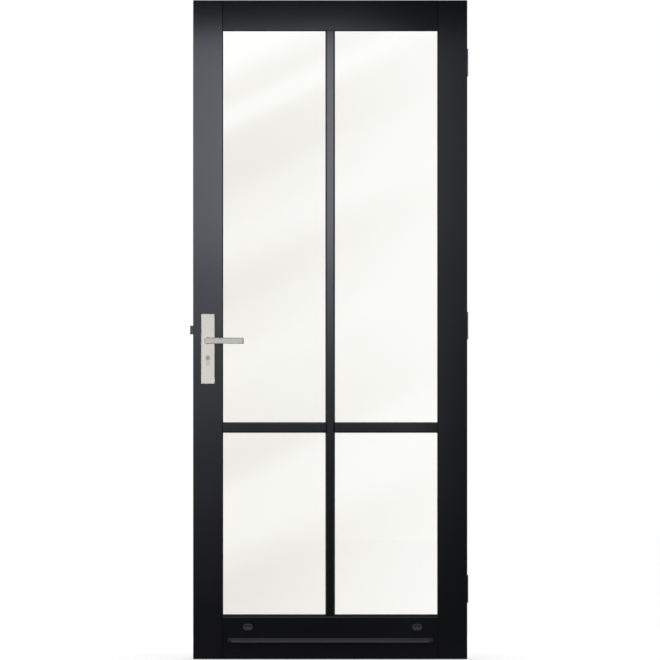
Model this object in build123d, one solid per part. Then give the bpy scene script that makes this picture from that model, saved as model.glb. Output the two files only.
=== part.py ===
from build123d import *
from math import cos, radians, sin
import os

# Glazed timber patio door leaf with its hinges, lock and handles, in millimetres.
# X runs across the door, to the right as seen from outside. Y runs from outside to inside. Z is up.
# The origin is the middle of the leaf's bottom edge, halfway through its thickness.
# The hinges are on the right, with their knuckles behind the inner face, so the door opens inward.

# Leaf
leaf_width = 880
leaf_height = 2115
leaf_thickness = 54
stile_face = 95
top_rail_face = 98
bottom_rail_face = 135
bottom_slope_rise = 6.7
slope_arris = 1.5
outer_arris = 2
sight_chamfer = 2
dowel_radius = 8
dowel_length = 120
dowel_edge = 22
dowel_pitch = 38

# Glazing pocket and sealed unit
lip_thickness = 13
pocket_depth = 17
gasket_thickness = 3
gasket_recess = 2
pane_thickness = 4
cavity_depth = 16
glass_cover = 12
edge_seal_width = 4
spacer_width = 7
block_length = 100
block_from_corner = 130
bead_chamfer = 3
bead_pin_radius = 0.8
bead_pin_length = 27
bead_pin_from_corner = 90
bead_pins_per_side = 4

# Glazing bars, stuck on the outer and inner panes
upright_bar_width = 28.5
cross_bar_height = 31.5
cross_bar_z = 743
bar_depth = 12
bar_side = 4
bar_bevel = 3.2
bar_arris = 1
tape_thickness = 1
tape_inset = 3
cavity_bar_width = 20
cavity_bar_clearance = 1

# Vent caps of the glazing pocket, on the bottom rail
vent_z = 102.7
left_vent_from_edge = 175.6
right_vent_from_edge = 161
vent_width = 31.6
vent_height = 21
vent_thickness = 3.5
vent_edge_round = 1.2
vent_rim = 3.6
vent_recess = 2.4
vent_tongue_radius = 4.2
vent_sleeve_radius = 8
vent_sleeve_wall = 1.5
vent_sleeve_length = 15
vent_duct_radius = 5
vent_hole_radius = 1
vent_hole_angle = 45

# Drip bar, a hood clipped on a carrier strip
drip_end_gap = 16
drip_z = 54
drip_height = 13.4
drip_nose_height = 4.2
drip_depth = 14
drip_wall = 1.8
drip_end_length = 12
drip_end_round = 0.9
drip_spigot_length = 8
carrier_thickness = 2
carrier_height = 7
carrier_screws = 5
carrier_screw_inset = 30
carrier_screw_radius = 1.75
carrier_screw_head = 2.9
carrier_screw_length = 25

# Butt hinges
hinge_height = 89
hinge_flap_width = 44.5
hinge_flap_thickness = 3
hinge_flap_gap = 0.4
hinge_from_top = 200
hinge_from_bottom = 225
knuckle_radius = 6
knuckle_stand_off = 2
knuckle_play = 0.3
pin_radius = 3.2
pin_play = 0.05
pin_head_radius = 5.2
pin_head_height = 3
pin_tip_depth = 5
bearing_thickness = 2
hinge_screw_pitch_y = 20
hinge_screw_pitch_z = 60
hinge_screw_radius = 2.25
hinge_hole_radius = 2.6
hinge_screw_head = 4.6
hinge_sink_play = 0.1
hinge_screw_length = 38

# Handle set
spindle_z = 1022
spindle_size = 8
spindle_play = 0.05
spindle_chamfer = 0.5
plate_width = 44
plate_thickness = 7
plate_round = 1.5
plate_bolt_above = 71
plate_bolt_below = 123.7
plate_end = 15
plate_bolt_radius = 2.5
plate_bolt_head = 4.8
plate_bolt_bite = 4
lever_length = 124
lever_height = 19.2
lever_thickness = 13
lever_round = 2.5
lever_reach = 42
neck_radius = 9
neck_play = 0.08
neck_end_gap = 0.5
bush_wall = 2
spindle_bite = 24
grub_radius = 2.5
grub_from_plate = 8
grub_socket_radius = 1.25
grub_socket_depth = 2

# Mortise lock
forend_width = 20
forend_thickness = 3
forend_above = 95
forend_below = 140
forend_screw_inset = 9
forend_screw_radius = 2.25
forend_screw_head = 4.4
forend_screw_length = 38
case_thickness = 15
case_wall = 1.5
case_above = 58
case_below = 102
case_behind_spindle = 20.5
case_play = 0.3
hub_radius = 9
hub_play = 0.3
journal_radius = 8
journal_play = 0.05
arm_length = 16.3
arm_width = 5
arm_lead = 0.8
latch_throw = 10
latch_width = 11
latch_height = 28
latch_above = 34
latch_length = 25
latch_flat = 2
latch_tail_height = 6
latch_tail_width = 3
latch_lug_z = 11
bolt_face_inset = 0.3
dead_bolt_length = 40
dead_bolt_height = 24
dead_bolt_below = 26
dead_bolt_tail_height = 8
dead_bolt_tail_width = 3
bolt_hole_play = 0.2
spring_wire_radius = 0.6
spring_turns = 3
spring_pitch = 1.5
spring_play = 0.4

# Profile cylinder
cylinder_drop = 55
cylinder_radius = 8.5
cylinder_depth = 33
cylinder_lobe_width = 10
cylinder_proud = 1
cylinder_play = 0.25
cylinder_hole_play = 1
plug_radius = 6.5
plug_play = 0.05
plug_proud = 0.3
keyway_width = 2.4
keyway_above = 1.8
keyway_below = 6
keyway_depth = 22
cam_slot_width = 10
cam_width = 9.4
cam_radius = 8.2
cam_reach = 15.2
cam_tab_width = 7
bridge_height = 8.3
fixing_screw_radius = 2.5
fixing_screw_head = 4.6
fixing_screw_past = 7

# Cross recess of every countersunk head, and how far a cut runs past a face
recess_width = 1
recess_depth = 1.2
recess_span = 0.55
past = 1

# Lines worked out from the sizes above
leaf_left = -leaf_width / 2
leaf_right = leaf_width / 2
y_out = -leaf_thickness / 2
y_in = leaf_thickness / 2

sight_left = leaf_left + stile_face
sight_right = leaf_right - stile_face
sight_bottom = bottom_rail_face + bottom_slope_rise
sight_top = leaf_height - top_rail_face
pocket_half = sight_right + pocket_depth
pocket_bottom = sight_bottom - pocket_depth
pocket_top = sight_top + pocket_depth

lip_back = y_out + lip_thickness
glass_front = lip_back + gasket_thickness
cavity_front = glass_front + pane_thickness
cavity_back = cavity_front + cavity_depth
glass_back = cavity_back + pane_thickness
bead_front = glass_back + gasket_thickness

upright_half = upright_bar_width / 2
cross_half = cross_bar_height / 2
bar_middle_x = (sight_left + sight_right) / 2
outer_bar_back = glass_front - tape_thickness
outer_bar_front = outer_bar_back - bar_depth
inner_bar_back = glass_back + tape_thickness

spindle_x = leaf_left + stile_face / 2
plate_top = spindle_z + plate_bolt_above + plate_end
plate_bottom = spindle_z - plate_bolt_below - plate_end
plate_face = leaf_thickness / 2 + plate_thickness
case_front = leaf_left + forend_thickness
case_back = spindle_x + case_behind_spindle
case_half = case_thickness / 2
case_inside = case_half - case_wall
cylinder_z = spindle_z - cylinder_drop
cylinder_half = plate_face + cylinder_proud

hinge_axis_x = leaf_right - knuckle_radius
hinge_axis_y = y_in + knuckle_stand_off + knuckle_radius
hinge_top_z = leaf_height - hinge_from_top
hinge_bottom_z = hinge_from_bottom
hinge_levels = {
    "top": hinge_top_z,
    "middle": (hinge_top_z + hinge_bottom_z) / 2,
    "bottom": hinge_bottom_z,
}


# Building blocks
def block(x0, x1, y0, y1, z0, z1):
    """A box between two opposite corners."""
    centre = Pos((x0 + x1) / 2, (y0 + y1) / 2, (z0 + z1) / 2)
    return centre * Box(x1 - x0, y1 - y0, z1 - z0)


def rod_x(radius, x0, x1, y, z):
    """A round bar along X."""
    return Pos((x0 + x1) / 2, y, z) * Rot(0, 90, 0) * Cylinder(radius, x1 - x0)


def rod_y(radius, y0, y1, x, z):
    """A round bar along Y."""
    return Pos(x, (y0 + y1) / 2, z) * Rot(90, 0, 0) * Cylinder(radius, y1 - y0)


def rod_z(radius, z0, z1, x, y):
    """A round bar along Z."""
    return Pos(x, y, (z0 + z1) / 2) * Cylinder(radius, z1 - z0)


def side_block(side, x0, x1, d0, d1, z0, z1):
    """A box on the outer (-1) or inner (1) side, between two distances from the leaf's middle."""
    return block(x0, x1, *sorted((side * d0, side * d1)), z0, z1)


def side_rod(side, radius, d0, d1, x, z):
    """A round bar along Y on one side, between two distances from the leaf's middle."""
    return rod_y(radius, *sorted((side * d0, side * d1)), x, z)


def side_face(shape, side):
    """The shape's outermost flat face on one side of the leaf."""
    return shape.faces().sort_by(Axis.Y)[0 if side < 0 else -1]


def prism_x(outline, x0, x1):
    """An outline of (y, z) points drawn out along X."""
    face = make_face(Polyline(*[(x0, y, z) for y, z in outline], close=True))
    return extrude(face, x1 - x0, dir=(1, 0, 0))


def prism_y(outline, y0, y1):
    """An outline of (x, z) points drawn out along Y."""
    face = make_face(Polyline(*[(x, y0, z) for x, z in outline], close=True))
    return extrude(face, y1 - y0, dir=(0, 1, 0))


def prism_z(outline, z0, z1):
    """An outline of (x, y) points drawn out along Z."""
    face = make_face(Polyline(*[(x, y, z0) for x, y in outline], close=True))
    return extrude(face, z1 - z0, dir=(0, 0, 1))


def ring(x_half, z0, z1, width, y0, y1):
    """A flat rectangular ring standing in the leaf's plane, by its outer edge and its width."""
    outer = block(-x_half, x_half, y0, y1, z0, z1)
    hole = block(-x_half + width, x_half - width, y0, y1, z0 + width, z1 - width)
    return outer - hole


def group(solids):
    """Several like solids kept apart in one sub-part."""
    return Compound(children=list(solids))


def cut_all(body, tools):
    """The body with each tool's solid taken away."""
    for tool in tools:
        body = body - tool
    return body


def countersunk_space(head_radius, shank_radius, length):
    """The space a countersunk screw fills down -Z, its flat head at the origin."""
    head_height = head_radius - shank_radius
    head = Pos(0, 0, -head_height / 2) * Cone(shank_radius, head_radius, head_height)
    return head + rod_z(shank_radius, -length, -head_height, 0, 0)


def countersunk_screw(head_radius, shank_radius, length):
    """The screw itself, with a cross recess in its head."""
    slot = Box(head_radius * 2 * recess_span, recess_width, recess_depth * 2)
    return countersunk_space(head_radius, shank_radius, length) - slot - Rot(0, 0, 90) * slot


def place(shape, point, facing):
    """The shape moved so that its +Z points along facing from the point."""
    return Plane(origin=point, z_dir=facing) * shape


def profile_prism(play, y0, y1):
    """The profile cylinder's section, grown by play, drawn out along Y round the plug's axis."""
    radius = cylinder_radius + play
    lobe = cylinder_lobe_width / 2 + play
    lobe_bottom = cylinder_z + cylinder_radius - cylinder_depth - play
    body = rod_y(radius, y0, y1, spindle_x, cylinder_z)
    body += block(spindle_x - lobe, spindle_x + lobe, y0, y1, lobe_bottom + lobe, cylinder_z)
    return body + rod_y(lobe, y0, y1, spindle_x, lobe_bottom + lobe)


# Timber members
def leaf_envelope():
    """The whole leaf as one slab with rounded outer arrises."""
    slab = block(leaf_left, leaf_right, y_out, y_in, 0, leaf_height)
    return fillet(slab.edges(), outer_arris)


def stile_blank(envelope):
    """The left stile: an L section with the glazing pocket cut along its whole inner edge."""
    stile = block(leaf_left, sight_left, y_out, y_in, 0, leaf_height)
    stile -= block(-pocket_half, sight_left, lip_back, y_in, 0, leaf_height)
    bevel = [
        (sight_left - sight_chamfer, y_out),
        (sight_left, y_out),
        (sight_left, y_out + sight_chamfer),
    ]
    return (stile - prism_z(bevel, 0, leaf_height)) & envelope


def top_rail_blank(envelope):
    """The top rail, scribed over the stiles' pocket, with the same glazing pocket below."""
    rail = block(sight_left, sight_right, y_out, lip_back, sight_top, leaf_height)
    rail += block(-pocket_half, pocket_half, lip_back, y_in, pocket_top, leaf_height)
    bevel = [
        (y_out, sight_top),
        (y_out + sight_chamfer, sight_top),
        (y_out, sight_top + sight_chamfer),
    ]
    return (rail - prism_x(bevel, sight_left, sight_right)) & envelope


def bottom_rail_blank(envelope):
    """The bottom rail, whose outer lip slopes up to the glass to shed water."""
    lip = [(y_out, 0), (lip_back, 0), (lip_back, sight_bottom), (y_out, bottom_rail_face)]
    rail = prism_x(lip, sight_left, sight_right)
    rail += block(-pocket_half, pocket_half, lip_back, y_in, 0, pocket_bottom)
    nose = rail.edges().filter_by(Axis.X).sort_by_distance((0, y_out, bottom_rail_face))[0]
    return fillet(nose, slope_arris) & envelope


def corner_dowels():
    """Dowels across each stile and rail joint: two at the top rail, three at the bottom rail."""
    y = (lip_back + y_in) / 2
    heights = [leaf_height - dowel_edge - i * dowel_pitch for i in range(2)]
    heights += [dowel_edge + i * dowel_pitch for i in range(3)]
    return [
        rod_x(dowel_radius, x - dowel_length / 2, x + dowel_length / 2, y, z)
        for x in (-pocket_half, pocket_half)
        for z in heights
    ]


# Sealed unit, gaskets, beads
glass_half = sight_right + glass_cover
glass_bottom = sight_bottom - glass_cover
glass_top = sight_top + glass_cover


def pane(y0):
    """One pane of the sealed unit, its front face at y0."""
    return block(-glass_half, glass_half, y0, y0 + pane_thickness, glass_bottom, glass_top)


def edge_seal():
    """The sealant round the spacer frame, flush with the panes' edges."""
    return ring(glass_half, glass_bottom, glass_top, edge_seal_width, cavity_front, cavity_back)


def spacer_frame():
    """The metal spacer frame between the panes."""
    return ring(
        glass_half - edge_seal_width, glass_bottom + edge_seal_width,
        glass_top - edge_seal_width, spacer_width, cavity_front, cavity_back,
    )


def cavity_bars():
    """The bars between the panes, behind the glued bars: one upright and two cross pieces."""
    inset = edge_seal_width + spacer_width
    y0 = cavity_front + cavity_bar_clearance
    y1 = cavity_back - cavity_bar_clearance
    half = cavity_bar_width / 2
    left = bar_middle_x - half
    right = bar_middle_x + half
    low, high = cross_bar_z - half, cross_bar_z + half
    return [
        block(left, right, y0, y1, glass_bottom + inset, glass_top - inset),
        block(-glass_half + inset, left, y0, y1, low, high),
        block(right, glass_half - inset, y0, y1, low, high),
    ]


def gasket(y0):
    """A glazing gasket strip round the unit, set back from the sight line."""
    width = glass_cover - gasket_recess
    return ring(glass_half, glass_bottom, glass_top, width, y0, y0 + gasket_thickness)


def setting_blocks():
    """Blocks that carry and centre the unit in its pocket, two on each side."""
    blocks = []
    for side in (-1, 1):
        x0 = side * (glass_half - block_from_corner) - block_length / 2
        x1 = x0 + block_length
        blocks.append(block(x0, x1, glass_front, glass_back, pocket_bottom, glass_bottom))
        blocks.append(block(x0, x1, glass_front, glass_back, glass_top, pocket_top))
        inner, outer = sorted((side * glass_half, side * pocket_half))
        for z in (glass_bottom + block_from_corner, glass_top - block_from_corner):
            z0 = z - block_length / 2
            blocks.append(block(inner, outer, glass_front, glass_back, z0, z0 + block_length))
    return blocks


def bead_section(at, inward):
    """A bead's section across the leaf: from the pocket wall to the sight line, its arris chamfered."""
    wall = at - inward * pocket_depth
    return [
        (wall, bead_front),
        (at, bead_front),
        (at, y_in - bead_chamfer),
        (at - inward * bead_chamfer, y_in),
        (wall, y_in),
    ]


def mitre_frame(x_half, z0, z1, reach):
    """Four wedges, one for each side, that mitre the beads along the corners' diagonals."""
    corners = {
        "bottom": [(-x_half, z0), (x_half, z0), (x_half - reach, z0 + reach),
                   (-x_half + reach, z0 + reach)],
        "top": [(-x_half, z1), (x_half, z1), (x_half - reach, z1 - reach),
                (-x_half + reach, z1 - reach)],
        "lock_side": [(-x_half, z0), (-x_half, z1), (-x_half + reach, z1 - reach),
                      (-x_half + reach, z0 + reach)],
        "hinge_side": [(x_half, z0), (x_half, z1), (x_half - reach, z1 - reach),
                       (x_half - reach, z0 + reach)],
    }
    return {side: prism_y(outline, bead_front, y_in) for side, outline in corners.items()}


def glazing_beads():
    """The four mitred beads that hold the unit from inside."""
    swapped = {
        "bottom": [(y, z) for z, y in bead_section(sight_bottom, 1)],
        "top": [(y, z) for z, y in bead_section(sight_top, -1)],
    }
    lengths = {
        side: prism_x(section, -pocket_half, pocket_half) for side, section in swapped.items()
    }
    lengths["lock_side"] = prism_z(bead_section(sight_left, 1), pocket_bottom, pocket_top)
    lengths["hinge_side"] = prism_z(bead_section(sight_right, -1), pocket_bottom, pocket_top)
    wedges = mitre_frame(pocket_half, pocket_bottom, pocket_top, pocket_depth)
    return {side: lengths[side] & wedges[side] for side in lengths}


def bead_pins():
    """Thin pins through each bead into the timber."""
    y = (bead_front + y_in - bead_chamfer) / 2
    pins = []
    last = bead_pins_per_side - 1
    for i in range(bead_pins_per_side):
        x = sight_left + bead_pin_from_corner
        x += i * (sight_right - sight_left - 2 * bead_pin_from_corner) / last
        z = sight_bottom + bead_pin_from_corner
        z += i * (sight_top - sight_bottom - 2 * bead_pin_from_corner) / last
        pins.append(rod_z(bead_pin_radius, sight_bottom - bead_pin_length, sight_bottom, x, y))
        pins.append(rod_z(bead_pin_radius, sight_top, sight_top + bead_pin_length, x, y))
        pins.append(rod_x(bead_pin_radius, sight_left - bead_pin_length, sight_left, y, z))
        pins.append(rod_x(bead_pin_radius, sight_right, sight_right + bead_pin_length, y, z))
    return pins


# Glazing bars
def bar_section(half, back, side):
    """A bar's section as (across, y): straight sides at the glass, then bevels to the face."""
    shoulder = back + side * bar_side
    front = back + side * bar_depth
    face = half - bar_bevel
    return [
        (-half, back), (half, back), (half, shoulder),
        (face, front), (-face, front), (-half, shoulder),
    ]


def soften(bar, along, side):
    """The bar with the two arrises of its face rounded."""
    arrises = bar.edges().filter_by(along).sort_by(Axis.Y)
    return fillet(arrises[:2] if side < 0 else arrises[-2:], bar_arris)


def upright_bar(back, side, bottom):
    """The upright bar, running past the cross bars from rail to rail."""
    outline = [(bar_middle_x + x, y) for x, y in bar_section(upright_half, back, side)]
    return soften(prism_z(outline, bottom, sight_top), Axis.Z, side)


def cross_bar(back, side, x0, x1):
    """One cross bar between a stile and the upright bar."""
    outline = [(y, cross_bar_z + z) for z, y in bar_section(cross_half, back, side)]
    return soften(prism_x(outline, x0, x1), Axis.X, side)


def cross_bars(back, side):
    """The two cross bars on one side of the glass."""
    return {
        "left": cross_bar(back, side, sight_left, bar_middle_x - upright_half),
        "right": cross_bar(back, side, bar_middle_x + upright_half, sight_right),
    }


def outer_bars():
    """The bars outside: the upright's foot is scribed to the bottom rail's sloping lip."""
    front_low = sight_bottom - (lip_back - outer_bar_front) * bottom_slope_rise / lip_thickness
    under_foot = [
        (outer_bar_front, front_low),
        (lip_back, sight_bottom),
        (outer_bar_back, sight_bottom),
        (outer_bar_back, front_low),
    ]
    foot_cut = prism_x(under_foot, bar_middle_x - upright_half, bar_middle_x + upright_half)
    upright = upright_bar(outer_bar_back, -1, front_low) - foot_cut
    return {"upright": upright} | cross_bars(outer_bar_back, -1)


def inner_bars():
    """The bars inside."""
    upright = upright_bar(inner_bar_back, 1, sight_bottom)
    return {"upright": upright} | cross_bars(inner_bar_back, 1)


def bar_tapes():
    """The mounting tapes between the glass and the bars, on both sides."""
    tapes = []
    upright = upright_half - tape_inset
    cross = cross_half - tape_inset
    for y0 in (outer_bar_back, glass_back):
        y1 = y0 + tape_thickness
        low, high = cross_bar_z - cross, cross_bar_z + cross
        left, right = bar_middle_x - upright, bar_middle_x + upright
        tapes.append(block(left, right, y0, y1, sight_bottom, sight_top))
        tapes.append(block(sight_left, left, y0, y1, low, high))
        tapes.append(block(right, sight_right, y0, y1, low, high))
    return tapes


# Bottom rail fittings
def oval_prism(width, height, x, y0, y1):
    """A round-ended oval drawn out along Y, centred at the vents' height."""
    radius = height / 2
    half = width / 2 - radius
    body = block(x - half, x + half, y0, y1, vent_z - radius, vent_z + radius)
    for side in (-1, 1):
        body += rod_y(radius, y0, y1, x + side * half, vent_z)
    return body


def vent_cap(x):
    """An oval cap with a hooded recess in its upper half and a sleeve into the rail."""
    face = y_out - vent_thickness
    cap = oval_prism(vent_width, vent_height, x, face, y_out)
    cap = fillet(side_face(cap, -1).edges(), vent_edge_round)
    floor = face + vent_recess
    recess = oval_prism(vent_width - 2 * vent_rim, vent_height - 2 * vent_rim, x, face, floor)
    recess &= block(x - vent_width, x + vent_width, face, floor, vent_z, vent_z + vent_height)
    recess -= rod_y(vent_tongue_radius, face, floor, x, vent_z)
    bore = vent_sleeve_radius - vent_sleeve_wall
    sleeve_end = y_out + vent_sleeve_length
    cap += rod_y(vent_sleeve_radius, y_out, sleeve_end, x, vent_z)
    cap -= recess
    cap -= rod_y(bore, y_out, sleeve_end, x, vent_z)
    hole_from_middle = (vent_tongue_radius + bore) / 2
    across = hole_from_middle * cos(radians(vent_hole_angle))
    above = hole_from_middle * sin(radians(vent_hole_angle))
    for side in (-1, 1):
        cap -= rod_y(vent_hole_radius, face, y_out, x + side * across, vent_z + above)
    return cap


def vent_ducts(x):
    """The hole for a cap's sleeve and the duct up to the glazing pocket."""
    middle = (glass_front + glass_back) / 2
    return [
        rod_y(vent_sleeve_radius, y_out, middle, x, vent_z),
        rod_z(vent_duct_radius, vent_z, pocket_bottom, x, middle),
    ]


drip_half = sight_right - drip_end_gap
drip_slope = (drip_height - drip_nose_height) / drip_depth
drip_top = drip_z + drip_height
drip_nose = y_out - drip_depth


def drip_outline():
    """The drip bar's outer section as (y, z)."""
    return [
        (y_out, drip_z), (drip_nose, drip_z),
        (drip_nose, drip_z + drip_nose_height), (y_out, drip_top),
    ]


def drip_hollow():
    """The hollow inside the hood, open at the rail."""
    inner_nose = drip_nose + drip_wall
    wall_drop = drip_wall * (1 + drip_slope**2) ** 0.5
    return [
        (y_out, drip_z + drip_wall), (inner_nose, drip_z + drip_wall),
        (inner_nose, drip_z + drip_nose_height + drip_wall * drip_slope - wall_drop),
        (y_out, drip_top - wall_drop),
    ]


def drip_hood():
    """The aluminium hood between the two end pieces."""
    half = drip_half - drip_end_length
    return prism_x(drip_outline(), -half, half) - prism_x(drip_hollow(), -half, half)


def drip_end(side):
    """A moulded end piece with a spigot inside the hood."""
    outer = side * drip_half
    inner = side * (drip_half - drip_end_length)
    spigot = side * (drip_half - drip_end_length - drip_spigot_length)
    x0, x1 = sorted((outer, inner))
    end = prism_x(drip_outline(), x0, x1)
    end = fillet(end.faces().sort_by(Axis.X)[-1 if side > 0 else 0].edges(), drip_end_round)
    x0, x1 = sorted((inner, spigot))
    return end + prism_x(drip_hollow(), x0, x1)


def carrier_screw_places():
    """Where the carrier strip is screwed to the rail."""
    half = drip_half - drip_end_length - carrier_screw_inset
    z = drip_z + drip_wall + carrier_height / 2
    step = 2 * half / (carrier_screws - 1)
    return [(-half + i * step, y_out - carrier_thickness, z) for i in range(carrier_screws)]


def drip_screws(make):
    """The carrier strip's countersunk screws, or the space they fill."""
    screw = make(carrier_screw_head, carrier_screw_radius, carrier_screw_length)
    return [place(screw, point, (0, -1, 0)) for point in carrier_screw_places()]


def drip_carrier():
    """The strip on the rail that the hood is clipped over."""
    half = drip_half - drip_end_length - drip_spigot_length
    z0 = drip_z + drip_wall
    strip = block(-half, half, y_out - carrier_thickness, y_out, z0, z0 + carrier_height)
    return cut_all(strip, drip_screws(countersunk_space))


# Hinges
leaf_flap_outer = leaf_right
leaf_flap_inner = leaf_right - hinge_flap_thickness
frame_flap_inner = leaf_right + hinge_flap_gap
frame_flap_outer = frame_flap_inner + hinge_flap_thickness
flap_edge_y = hinge_axis_y - hinge_flap_width
flap_plate_end = y_in
screw_middle_y = (flap_edge_y + flap_plate_end) / 2
knuckle_count = 5
knuckle_height = (hinge_height - 2 * bearing_thickness - 2 * knuckle_play) / knuckle_count


def knuckle_spans(z):
    """Bottom and top of each of the five knuckles, from the lowest up, and of the two bearings."""
    knuckles, bearings = [], []
    low = z - hinge_height / 2
    for i in range(knuckle_count):
        knuckles.append((low, low + knuckle_height))
        low += knuckle_height
        if i % 2 == 0 and i < knuckle_count - 1:
            bearings.append((low, low + bearing_thickness))
            low += bearing_thickness
        else:
            low += knuckle_play
    return knuckles, bearings


def flap_screw_points(x, z):
    """The four screw places of a flap."""
    return [
        (x, screw_middle_y + j * hinge_screw_pitch_y / 2, z + k * hinge_screw_pitch_z / 2)
        for j in (-1, 1)
        for k in (-1, 1)
    ]


def flap_hole():
    """A flap's countersunk screw hole, its sink a little wider than the head."""
    sink = hinge_screw_head + hinge_sink_play
    return countersunk_space(sink, hinge_hole_radius, hinge_flap_thickness)


def knuckle(span):
    """One knuckle's barrel."""
    return rod_z(knuckle_radius, span[0], span[1], hinge_axis_x, hinge_axis_y)


def pin_bore(z):
    """The pin's hole through all knuckles."""
    half = hinge_height / 2
    return rod_z(pin_radius + pin_play, z - half, z + half, hinge_axis_x, hinge_axis_y)


def leaf_flap(z):
    """The flap let into the leaf's edge, its sheet tangent to the second and fourth knuckles."""
    half = hinge_height / 2
    flap = block(leaf_flap_inner, leaf_flap_outer, flap_edge_y, flap_plate_end, z - half, z + half)
    knuckles, _ = knuckle_spans(z)
    for span in knuckles[1::2]:
        web = block(leaf_flap_inner, leaf_flap_outer, flap_plate_end, hinge_axis_y, *span)
        flap += web + knuckle(span)
    for point in flap_screw_points(leaf_flap_outer, z):
        flap -= place(flap_hole(), point, (1, 0, 0))
    return flap - pin_bore(z)


def frame_flap(z):
    """The flap for the frame, cranked behind the leaf to the first, third and fifth knuckles."""
    half = hinge_height / 2
    flap = block(frame_flap_inner, frame_flap_outer, flap_edge_y, flap_plate_end, z - half, z + half)
    knuckles, _ = knuckle_spans(z)
    crank_low = y_in + hinge_flap_gap
    crank = [
        (frame_flap_inner, flap_plate_end),
        (frame_flap_outer, flap_plate_end),
        (frame_flap_outer, crank_low + hinge_flap_thickness * 0.5),
        (leaf_right, hinge_axis_y),
        (hinge_axis_x, hinge_axis_y),
        (hinge_axis_x + knuckle_radius / 2, crank_low),
        (frame_flap_inner, crank_low),
    ]
    for span in knuckles[0::2]:
        flap += prism_z(crank, *span) + knuckle(span)
    for point in flap_screw_points(frame_flap_inner, z):
        flap -= place(flap_hole(), point, (-1, 0, 0))
    return flap - pin_bore(z)


def hinge_pin(z):
    """The pin with its domed head on top, and the tip that closes the lowest knuckle."""
    top = z + hinge_height / 2
    bottom = z - hinge_height / 2
    seat = bottom + pin_tip_depth
    head = rod_z(pin_head_radius, top, top + pin_head_height, hinge_axis_x, hinge_axis_y)
    head = fillet(head.faces().sort_by(Axis.Z)[-1].edges(), pin_head_height / 3)
    tip = rod_z(pin_head_radius, bottom - pin_head_height, bottom, hinge_axis_x, hinge_axis_y)
    tip = fillet(tip.faces().sort_by(Axis.Z)[0].edges(), pin_head_height / 3)
    return [
        head + rod_z(pin_radius, seat, top, hinge_axis_x, hinge_axis_y),
        tip + rod_z(pin_radius, bottom, seat, hinge_axis_x, hinge_axis_y),
    ]


def hinge_bearings(z):
    """The two bearing rings that the leaf's knuckles ride on."""
    _, bearings = knuckle_spans(z)
    return [knuckle(span) - pin_bore(z) for span in bearings[:2]]


def hinge_screws(z, make):
    """The four screws of a leaf flap, or the space they fill."""
    screw = make(hinge_screw_head, hinge_screw_radius, hinge_screw_length)
    return [place(screw, point, (1, 0, 0)) for point in flap_screw_points(leaf_flap_outer, z)]


def hinge_cuts(z):
    """The recess for a leaf flap in the stile's edge, and its screws' holes."""
    half = hinge_height / 2
    recess = block(
        leaf_flap_inner, leaf_right + past, flap_edge_y, y_in + past, z - half, z + half
    )
    return [recess] + hinge_screws(z, countersunk_space)


# Handle set
def plate_bolt_heights():
    """Heights of the two through-bolts, above and below the lock case."""
    return [spindle_z + plate_bolt_above, spindle_z - plate_bolt_below]


def backplate(side):
    """One long backplate, with its holes for the lever's bush, the cylinder and the bolts."""
    half = plate_width / 2
    plate = side_block(
        side, spindle_x - half, spindle_x + half,
        leaf_thickness / 2, plate_face, plate_bottom, plate_top,
    )
    plate = fillet(side_face(plate, side).edges(), plate_round)
    plate -= rod_y(neck_radius + bush_wall, -plate_face, plate_face, spindle_x, spindle_z)
    plate -= profile_prism(cylinder_play, -plate_face, plate_face)
    return cut_all(plate, plate_bolts(countersunk_space))


def plate_bolts(make):
    """The through-bolts, from the inner plate into blind holes in the outer plate."""
    length = leaf_thickness + plate_thickness + plate_bolt_bite
    bolt = make(plate_bolt_head, plate_bolt_radius, length)
    return [place(bolt, (spindle_x, plate_face, z), (0, 1, 0)) for z in plate_bolt_heights()]


def lever(side):
    """A lever: a straight bar of rounded section on a round neck that turns in the plate."""
    x0 = spindle_x - lever_height / 2
    half = lever_height / 2
    back = plate_face + lever_reach
    bar = side_block(
        side, x0, x0 + lever_length, back, back + lever_thickness,
        spindle_z - half, spindle_z + half,
    )
    bar = fillet(bar.edges(), lever_round)
    start = leaf_thickness / 2 + neck_end_gap
    bar += side_rod(side, neck_radius, start, back + lever_round, spindle_x, spindle_z)
    half = spindle_size / 2 + spindle_play
    bar -= side_block(
        side, spindle_x - half, spindle_x + half,
        start, plate_face + spindle_bite + spindle_play, spindle_z - half, spindle_z + half,
    )
    hole_y = side * (plate_face + grub_from_plate)
    bottom = spindle_z - neck_radius - past
    return bar - rod_z(grub_radius, bottom, spindle_z - half, spindle_x, hole_y)


def grub_screw(side):
    """The grub screw under a lever's neck, tight against the spindle."""
    y = side * (plate_face + grub_from_plate)
    tip = spindle_z - spindle_size / 2
    low = spindle_z - (neck_radius**2 - grub_radius**2) ** 0.5
    socket = rod_z(grub_socket_radius, low, low + grub_socket_depth, spindle_x, y)
    return rod_z(grub_radius, low, tip, spindle_x, y) - socket


def spindle():
    """The square spindle through follower and levers."""
    reach = plate_face + spindle_bite
    half = spindle_size / 2
    bar = block(
        spindle_x - half, spindle_x + half, -reach, reach, spindle_z - half, spindle_z + half
    )
    return chamfer(side_face(bar, -1).edges() + side_face(bar, 1).edges(), spindle_chamfer)


def lever_bush(side):
    """The plain bearing ring of a lever's neck in its plate."""
    outer = side_rod(
        side, neck_radius + bush_wall, leaf_thickness / 2, plate_face, spindle_x, spindle_z
    )
    return outer - rod_y(neck_radius + neck_play, -plate_face, plate_face, spindle_x, spindle_z)


# Mortise lock
case_low = spindle_z - case_below
case_high = spindle_z + case_above
forend_low = spindle_z - forend_below
forend_high = spindle_z + forend_above
latch_low = spindle_z + latch_above - latch_height / 2
latch_high = latch_low + latch_height
bolt_low = spindle_z - dead_bolt_below - dead_bolt_height / 2
bolt_high = bolt_low + dead_bolt_height
fixing_z = cylinder_z + cylinder_radius - cylinder_depth + bridge_height / 2


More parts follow.
